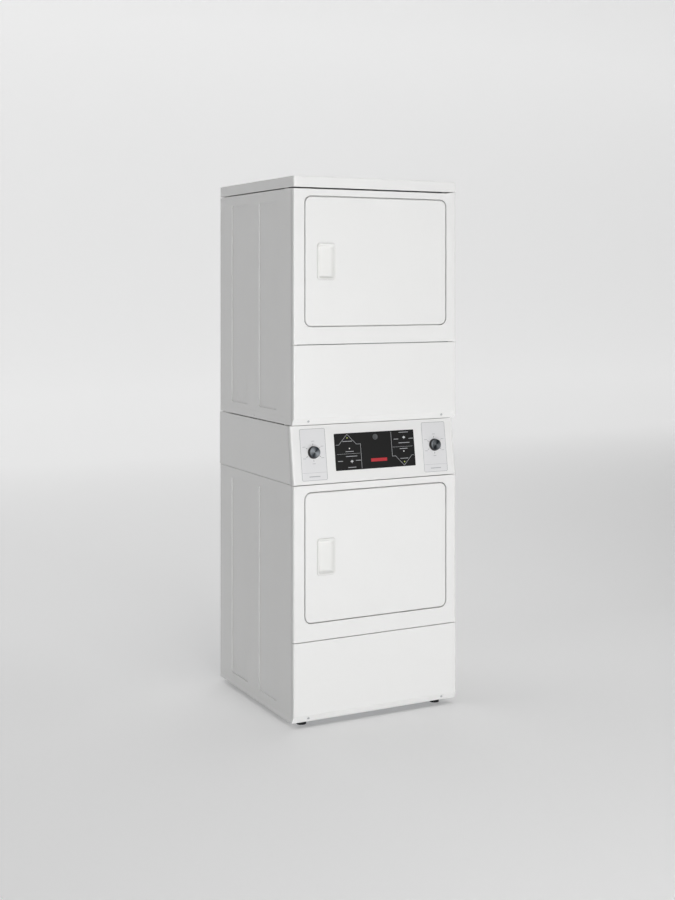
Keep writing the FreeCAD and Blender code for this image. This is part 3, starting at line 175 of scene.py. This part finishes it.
# Baked enamel on steel: a soft gloss with the faint ripple that sprayed enamel keeps.
ENAMEL = material("white_enamel", "EFEFEE", 0.34, coat=0.25, grain=0.05, grain_size=0.0035,
                  height=0.00003, variation=0.008)
# Moulded white plastic of the door pulls: a finer, slightly warmer surface than the enamel.
PULL_WHITE = material("moulded_white", "EAEAE8", 0.55, coat=0.0, grain=0.1, grain_size=0.0012,
                      variation=0.01)
# Printed light grey film behind the knobs.
PLATE_GREY = material("grey_film", "E2E2E3", 0.45, grain=0.2, grain_size=0.0009, variation=0.01)
PLATE_EDGE = material("film_edge", "9EA0A3", 0.45, variation=0.01)
# Dark polyester overlay with a fine matte texture.
OVERLAY_BLACK = material("dark_film", "191919", 0.5, grain=0.3, grain_size=0.0008,
                         variation=0.06, specular=0.18)
INK_GREY = material("printed_grey", "A9AAAD", 0.5, variation=0.02)
INK_DARK = material("printed_dark", "3A3B3D", 0.5, variation=0.02)
INK_RED = material("printed_red", "B8242E", 0.45, variation=0.03)
KNOB_BLACK = material("knob_black", "151516", 0.36, grain=0.3, grain_size=0.0007, variation=0.08)
BUTTON_GREY = material("button_face", "C9CACC", 0.35, grain=0.1, grain_size=0.001, variation=0.02)
GLOW_GREEN = material("lamp_green", "B8C86A", 0.25, emission=0.25, variation=0.02)
GLOW_WHITE = material("lamp_white", "E4E6E6", 0.25, emission=0.2, variation=0.02)
LENS_GREY = material("lens_grey", "4C4E50", 0.35, coat=0.2, variation=0.05)
RUBBER = material("black_rubber", "17171A", 0.75, grain=0.5, grain_size=0.0009, variation=0.1)
ZINC = material("zinc_plate", "C6C8CA", 0.32, metallic=1.0, grain=0.2, grain_size=0.0012)
GALVANISED = spangled("galvanised_sheet", "B4B7BA")
DRUM_STEEL = material("rolled_steel", "C4C6C8", 0.34, metallic=1.0, grain=0.3, grain_size=0.0015,
                      stretch=(1, 12, 1))
MOTOR_BLACK = material("motor_paint", "202124", 0.45, grain=0.4, grain_size=0.002, variation=0.1)
BOARD_GREEN = material("board_lacquer", "1F5A38", 0.4, grain=0.2, variation=0.1)
# Spun aluminium: rings left by the lathe run round the cap, and bands of painted highlight cross it.
SPUN = lathe_rings_and_painted_highlight(material("spun_aluminium", "5F6367", 0.36, metallic=1.0, variation=0.04))

SLOT_FINISH = {
    "white_enamel": ENAMEL, "galvanised_steel": GALVANISED, "drum_steel": DRUM_STEEL,
    "dark_rubber": RUBBER, "bright_steel": ZINC, "white_plastic": PULL_WHITE,
    "black_plastic": KNOB_BLACK, "motor_black": MOTOR_BLACK, "plate_grey": PLATE_GREY,
    "overlay_black": OVERLAY_BLACK, "spun_aluminium": SPUN, "board_green": BOARD_GREEN,
    "button_grey": BUTTON_GREY, "lamp_lens": GLOW_WHITE,
}
for part in frame["record"]["subparts"]:
    cad = frame["nodes"][part["node"]]
    for holder in cad.material_slots:
        holder.material = SLOT_FINISH[part["material_slot"]]


# ---------------------------------------------------------------- surfaces

def mesh_piece(name, points, faces, finish, body, smooth=True):
    """One object from an array of points and a list of faces."""
    mesh = bpy.data.meshes.new(name)
    mesh.from_pydata(points.reshape(-1, 3).tolist(), [], faces)
    mesh.polygons.foreach_set("use_smooth", [smooth] * len(mesh.polygons))
    mesh.materials.append(finish)
    mesh.update()
    thing = bpy.data.objects.new(name, mesh)
    bpy.context.scene.collection.objects.link(thing)
    if smooth:
        mesh.set_sharp_from_angle(angle=math.radians(40))
    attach(thing, body)
    return thing


def ring_faces(rings, steps):
    """Faces of a closed skin: quads between rings in turn, and a cap on the first and the last."""
    at = np.arange(rings * steps).reshape(rings, steps)
    following = np.roll(at, -1, axis=1)
    quads = np.stack([at[:-1], following[:-1], following[1:], at[1:]], axis=-1).reshape(-1, 4)
    return quads.tolist() + [at[0, ::-1].tolist(), at[-1].tolist()]


def turned(name, across, rise, profile, finish, body, flutes=0, depth=0.0, steps=96):
    """A turned skin on the console: for each (radius, height) of the profile, a ring round the
    axis; flutes lower the radius by depth times half of one minus the cosine of flutes times the
    angle."""
    angle = np.linspace(0, 2 * np.pi, steps, endpoint=False)
    radius, out = np.array(profile).T
    cut = depth * 0.5 * (1 - np.cos(flutes * angle)) if flutes else 0 * angle
    reach = radius[:, None] - cut * (radius[:, None] > 0.6 * radius.max())
    points = on_console(across + reach * np.cos(angle), rise + reach * np.sin(angle),
                        out[:, None] + 0 * reach)
    return mesh_piece(name, points, ring_faces(len(profile), steps), finish, body)


def round_rectangle(width, height, radius, steps=8):
    """Outline of a rectangle with quarter-circle corners, anticlockwise, as (across, up)."""
    turn = np.linspace(0, np.pi / 2, steps)
    points = []
    for quarter, (right, top) in enumerate([(1, 1), (-1, 1), (-1, -1), (1, -1)]):
        angle = turn + quarter * np.pi / 2
        points.append(np.stack([right * (width / 2 - radius) + radius * np.cos(angle),
                                top * (height / 2 - radius) + radius * np.sin(angle)], axis=-1))
    return np.concatenate(points)


def stroke(name, path, width, low, finish, closed=False):
    """Printed line on the console along a path of (across, up the slope): a flat band of the given
    width, mitred at each corner, one ink layer thick."""
    path = np.array(path, float)
    before = np.roll(path, 1, axis=0) if closed else np.vstack([path[:1], path[:-1]])
    after = np.roll(path, -1, axis=0) if closed else np.vstack([path[1:], path[-1:]])
    arrive, leave = path - before, after - path
    arrive[(arrive ** 2).sum(1) == 0] = leave[(arrive ** 2).sum(1) == 0]
    leave[(leave ** 2).sum(1) == 0] = arrive[(leave ** 2).sum(1) == 0]
    arrive /= np.linalg.norm(arrive, axis=1)[:, None]
    leave /= np.linalg.norm(leave, axis=1)[:, None]
    middle = arrive + leave
    middle /= np.linalg.norm(middle, axis=1)[:, None]
    normal = np.stack([-middle[:, 1], middle[:, 0]], axis=-1)
    mitre = width / 2 / np.maximum((middle * arrive).sum(1), 0.3)
    left, right = path + normal * mitre[:, None], path - normal * mitre[:, None]
    section = [(left, low + INK), (right, low + INK), (right, low), (left, low)]
    points = np.stack([on_console(side[:, 0], side[:, 1], out) for side, out in section], axis=1)
    count = len(path)
    faces = []
    for at in range(count if closed else count - 1):
        following = (at + 1) % count
        for edge in range(4):
            turn = (edge + 1) % 4
            faces.append([4 * at + edge, 4 * at + turn, 4 * following + turn, 4 * following + edge])
    if not closed:
        faces += [[3, 2, 1, 0], [4 * count - 4, 4 * count - 3, 4 * count - 2, 4 * count - 1]]
    return mesh_piece(name, points, faces, finish, "cabinet", smooth=False)


# ---------------------------------------------------------------- console details

def wrap_round(thing, across, rise):
    """Texture coordinates round an axis of the console: the first is the distance from the axis in
    units of a tenth of a millimetre, the second twice the angle round it."""
    mesh = thing.data
    layer = mesh.uv_layers.new(name="round_axis")
    places = np.zeros(len(mesh.vertices) * 3)
    mesh.vertices.foreach_get("co", places)
    away = places.reshape(-1, 3) - on_console(np.array(across), np.array(rise), np.array(0.0))
    sideways, upwards = away[:, 0], away @ SLOPE_UP
    corners = np.zeros(len(mesh.loops), dtype=int)
    mesh.loops.foreach_get("vertex_index", corners)
    wrapped = np.stack([np.hypot(sideways, upwards) / 0.0001,
                        2 * np.arctan2(upwards, sideways) + 1.2], axis=-1)
    layer.data.foreach_set("uv", wrapped[corners].ravel())


def knob(side, sign):
    """Fluted knob with a ring groove, and its spun cap."""
    base = PLATE_FACE + KNOB_GAP
    seat = base + KNOB_HEIGHT
    skirt = [(0.0222, base), (0.0230, base + 0.0008), (0.0230, base + 0.0028),
             (0.0219, base + 0.0034), (0.0214, seat - 0.0010), (0.0206, seat)]
    grip = turned(f"{side}_knob_grip", sign * KNOB_ACROSS, KNOB_RISE, skirt, KNOB_BLACK,
                  f"{side}_knob_body", flutes=30, depth=0.0006, steps=240)
    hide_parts(f"{side}_knob")
    crown = [(0.0200, seat), (0.0203, seat + 0.0012), (0.0198, seat + 0.0040),
             (0.0190, seat + 0.0047), (0.0170, seat + 0.0048), (0.0166, seat + 0.0044),
             (0.0100, seat + 0.0042), (0.0030, seat + 0.0043)]
    cap = turned(f"{side}_spun_cap", sign * KNOB_ACROSS, KNOB_RISE, crown, SPUN,
                 f"{side}_knob_body")
    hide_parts(f"{side}_knob_cap")
    wrap_round(cap, sign * KNOB_ACROSS, KNOB_RISE)
    mark = [(sign * KNOB_ACROSS, KNOB_RISE + 0.011), (sign * KNOB_ACROSS, KNOB_RISE + 0.0185)]
    pointer = stroke(f"{side}_knob_pointer", mark, 0.0018, seat + 0.0042, INK_DARK)
    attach(pointer, f"{side}_knob_body")


def knob_plate(side, sign):
    """Marks on one knob plate: outline, six rays, plain bars in place of words, a foot strip."""
    middle = sign * KNOB_ACROSS
    centre = PLATE_RISE + PLATE_HEIGHT / 2
    rim = round_rectangle(PLATE_WIDTH - 0.0012, PLATE_HEIGHT - 0.0012, 0.005) + [middle, centre]
    stroke(f"{side}_plate_outline", rim, 0.0012, PLATE_FACE, PLATE_EDGE, closed=True)
    line = PLATE_RISE + 0.028
    stroke(f"{side}_plate_line", [(middle - PLATE_WIDTH / 2 + 0.002, line),
                                  (middle + PLATE_WIDTH / 2 - 0.002, line)], 0.0007, PLATE_FACE,
           INK_GREY)
    stroke(f"{side}_plate_foot_bar", [(middle - 0.022, PLATE_RISE + 0.014),
                                      (middle + 0.022, PLATE_RISE + 0.014)], 0.0028, PLATE_FACE,
           INK_GREY)
    for turn in range(6):
        angle = math.radians(90 + 60 * turn)
        ray = [(middle + reach * math.cos(angle), KNOB_RISE + reach * math.sin(angle))
               for reach in (0.0265, 0.0330)]
        stroke(f"{side}_ray_{turn}", ray, 0.0011, PLATE_FACE, INK_DARK)
        away = 0.0405 + 0.0015 * abs(math.cos(angle))
        across = middle + away * math.cos(angle)
        rise = KNOB_RISE + away * math.sin(angle)
        stroke(f"{side}_ray_bar_{turn}", [(across - 0.006, rise), (across + 0.006, rise)], 0.0016,
               PLATE_FACE, INK_GREY)


def overlay_point(u, v):
    """A place on the overlay: u from left to right, v from top to bottom, both from 0 to 1."""
    return ((u - 0.5) * OVERLAY_WIDTH, OVERLAY_RISE + (1 - v) * OVERLAY_HEIGHT)


def overlay_line(name, width, finish, *places, closed=False):
    """Printed line through places of the overlay."""
    stroke(name, [overlay_point(*place) for place in places], width, OVERLAY_FACE, finish,
           closed=closed)


def overlay_marks():
    """Printed columns of the overlay: an arrow rising on the left, its half turn on the right."""
    overlay_line("arrow_up", 0.0013, INK_GREY, (0.015, 0.31), (0.05, 0.31), (0.16, 0.03),
                 (0.27, 0.31), (0.32, 0.31), (0.32, 0.97))
    overlay_line("arrow_down", 0.0013, INK_GREY, (0.985, 0.70), (0.96, 0.70), (0.855, 0.97),
                 (0.75, 0.70), (0.71, 0.70), (0.71, 0.03))
    overlay_line("left_rule", 0.0008, INK_GREY, (0.02, 0.56), (0.31, 0.56))
    overlay_line("right_rule", 0.0008, INK_GREY, (0.72, 0.455), (0.98, 0.455))
    bars = [(0.16, 0.22, 0.06), (0.18, 0.50, 0.05), (0.20, 0.63, 0.07), (0.20, 0.93, 0.05),
            (0.87, 0.06, 0.06), (0.87, 0.35, 0.07), (0.86, 0.51, 0.05), (0.86, 0.78, 0.05),
            (0.06, 0.75, 0.03), (0.28, 0.75, 0.03), (0.77, 0.24, 0.03), (0.96, 0.24, 0.03)]
    for index, (u, v, half) in enumerate(bars):
        overlay_line(f"caption_bar_{index}", 0.0022, INK_GREY, (u - half, v), (u + half, v))
    overlay_line("plain_bar", 0.012, INK_RED, (0.44, 0.77), (0.64, 0.77))


def start_button(side, across, rise):
    """Start button: shallow black dish in a raised rim, with a bright raised diamond."""
    face = OVERLAY_FACE + 0.0008
    profile = [(0.0090, -0.0060), (0.0090, face - 0.0004), (0.0086, face), (0.0078, face),
               (0.0070, face - 0.0003), (0.0030, face - 0.0004)]
    body = f"{side}_button"
    button = turned(f"{side}_start_dish", across, rise, profile, OVERLAY_BLACK, body)
    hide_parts(f"{side}_start_button")
    reach = np.array([(0.0066, 0.0), (0.0, 0.0052), (-0.0066, 0.0), (0.0, -0.0052)])
    low = face - 0.0006
    rings = [on_console(across + share * reach[:, 0], rise + share * reach[:, 1], out)
             for share, out in ((1.0, low), (1.0, face - 0.0001), (0.8, face + 0.0001))]
    mesh_piece(f"{side}_start_diamond", np.array(rings), ring_faces(3, 4), BUTTON_GREY, body,
               smooth=False)


def lamp(name, across, rise, radius, finish):
    """Small domed lens in the overlay: rings of a shallow cosine dome."""
    low = OVERLAY_FACE
    rings = [(radius, low - 0.003), (radius, low)]
    rings += [(radius * math.cos(turn), low + 0.0004 * math.sin(turn))
              for turn in np.linspace(0.3, 1.35, 6)]
    return turned(name, across, rise, rings, finish, "cabinet", steps=48)


for side, sign in zip(SIDES, (-1, 1)):
    knob(side, sign)
    knob_plate(side, sign)
overlay_marks()
start_button("left", -0.100, 0.074)
start_button("right", 0.124, 0.150)
lamps = [lamp("upper_ready_lamp", -0.114, 0.160, LAMP_RADIUS, GLOW_GREEN),
         lamp("upper_running_lamp", -0.107, 0.121, LAMP_RADIUS, GLOW_WHITE),
         lamp("lower_running_lamp", 0.121, 0.099, LAMP_RADIUS, GLOW_WHITE),
         lamp("lower_ready_lamp", 0.121, 0.060, LAMP_RADIUS, GLOW_GREEN)]
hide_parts("status_lights")
port_rings = [(0.0105, -0.0020), (0.0105, 0.0014), (0.0100, 0.0016), (0.0088, 0.0016),
              (0.0082, 0.0011), (0.0060, 0.0010), (0.0030, 0.0010)]
turned("service_port", 0.003, 0.158, port_rings, LENS_GREY, "cabinet", steps=64)


# ---------------------------------------------------------------- doors

def door_pull(unit):
    """Moulded pull: nested rounded rectangles from the skirt over a proud lip into a pocket whose
    depth falls from full at the left to shallow at the right, along a cosine."""
    low, high = (np.array(corner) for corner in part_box(f"{unit}_door_handle"))
    centre = (low + high) / 2
    width, height = high[0] - low[0], high[2] - low[2]
    lip = low[1]
    face = FACE_Y - 0.0015
    steps = [(0.0, high[1]), (0.0, face), (0.0004, lip + 0.0012), (0.0012, lip + 0.0002),
             (0.0024, lip), (0.0050, lip), (0.0066, lip + 0.0006), (0.0076, lip + 0.0022)]
    rings = []
    for inset, back in steps:
        outline = round_rectangle(width - 2 * inset, height - 2 * inset, 0.0115 - inset * 0.6, 12)
        rings.append(np.stack([outline[:, 0], np.full(len(outline), back), outline[:, 1]], axis=-1))
    for share in np.linspace(0, 1, 22)[1:]:
        inset = 0.0076 + (min(width, height) / 2 - 0.0090) * share
        outline = round_rectangle(width - 2 * inset, height - 2 * inset,
                                  max(0.001, 0.0070 * (1 - share)), 12)
        fall = np.cos(np.clip((outline[:, 0] + width / 2 - 0.012) / (width - 0.020), 0, 1) * np.pi / 2)
        wall = 1 - (1 - min(1, share * 3.2)) ** 2
        depth = 0.0022 + (0.0045 + 0.0080 * fall) * wall
        rings.append(np.stack([outline[:, 0], lip + depth, outline[:, 1]], axis=-1))
    points = np.array(rings) + np.array([centre[0], 0, centre[2]])
    pull = mesh_piece(f"{unit}_door_pull", points, ring_faces(len(rings), points.shape[1]),
                      PULL_WHITE, f"{unit}_door")
    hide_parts(f"{unit}_door_handle")


for unit in UNITS:
    door_pull(unit)


# ---------------------------------------------------------------- room, light and camera

def paper_sweep():
    """White paper floor and backdrop, which glows more with the distance behind the machine."""
    made = material("studio_white", "F7F7F7", 0.9, variation=0.0, emission=0.2)
    tree = made.node_tree
    shader = tree.nodes["Principled BSDF"]
    place = node(tree, "ShaderNodeTexCoord").outputs["Object"]
    parts = node(tree, "ShaderNodeSeparateXYZ", {"Vector": place})
    glow = node(tree, "ShaderNodeMapRange", {"Value": parts.outputs["Y"]})
    for setting, number in (("From Min", 0.5), ("From Max", 9.0), ("To Min", 0.15), ("To Max", 0.58)):
        glow.inputs[setting].default_value = number
    tree.links.new(glow.outputs[0], shader.inputs["Emission Strength"])
    return made


floor_mesh = bpy.data.meshes.new("studio_floor")
near_edge = -14.0
bend_start = 7.0
bend_radius = 5.0
backdrop_top = 16.0
half_width = 30.0
bend = [(bend_start + bend_radius * math.sin(turn), bend_radius * (1 - math.cos(turn)))
        for turn in np.linspace(0, np.pi / 2, 24)[1:]]
sweep = [(near_edge, 0.0), (bend_start, 0.0)] + bend + [(bend_start + bend_radius, backdrop_top)]
floor_points = [(side * half_width, back, up) for back, up in sweep for side in (-1, 1)]
floor_faces = [[2 * at, 2 * at + 1, 2 * at + 3, 2 * at + 2] for at in range(len(sweep) - 1)]
floor_mesh.from_pydata(floor_points, [], floor_faces)
floor_mesh.polygons.foreach_set("use_smooth", [True] * len(floor_faces))
floor_mesh.materials.append(paper_sweep())
studio = bpy.data.objects.new("studio_floor", floor_mesh)
bpy.context.scene.collection.objects.link(studio)


def area_light(name, place, target, size, power):
    """Square soft light aimed from one point at another."""
    lamp_data = bpy.data.lights.new(name, "AREA")
    lamp_data.shape = "SQUARE"
    lamp_data.size = size
    lamp_data.energy = power
    thing = bpy.data.objects.new(name, lamp_data)
    thing.location = place
    away = np.array(place) - np.array(target)
    thing.rotation_euler = (math.atan2(math.hypot(away[0], away[1]), away[2]), 0,
                            math.atan2(away[1], away[0]) + math.pi / 2)
    bpy.context.scene.collection.objects.link(thing)


area_light("front_light", (-0.4, -6.2, 0.9), (0, 0, 1.0), 4.0, 322)
area_light("top_light", (0.2, 0.6, 5.2), (0, 0.6, 0), 5.0, 100)
world = bpy.data.worlds.new("studio_air")
world.use_nodes = True
world.node_tree.nodes["Background"].inputs[0].default_value = (1, 1, 1, 1)
world.node_tree.nodes["Background"].inputs[1].default_value = 0.03
bpy.context.scene.world = world

camera_data = bpy.data.cameras.new("view_camera")
camera_data.sensor_width = 36.0
camera_data.lens = 54.03
camera_data.shift_y = -0.1857
camera = bpy.data.objects.new("view_camera", camera_data)
camera.location = (-2.4173, -4.6901, 1.5947)
camera.rotation_euler = (math.radians(90), 0, math.radians(-27.42))
bpy.context.scene.collection.objects.link(camera)
bpy.context.scene.camera = camera
bpy.context.scene.view_settings.view_transform = "Standard"
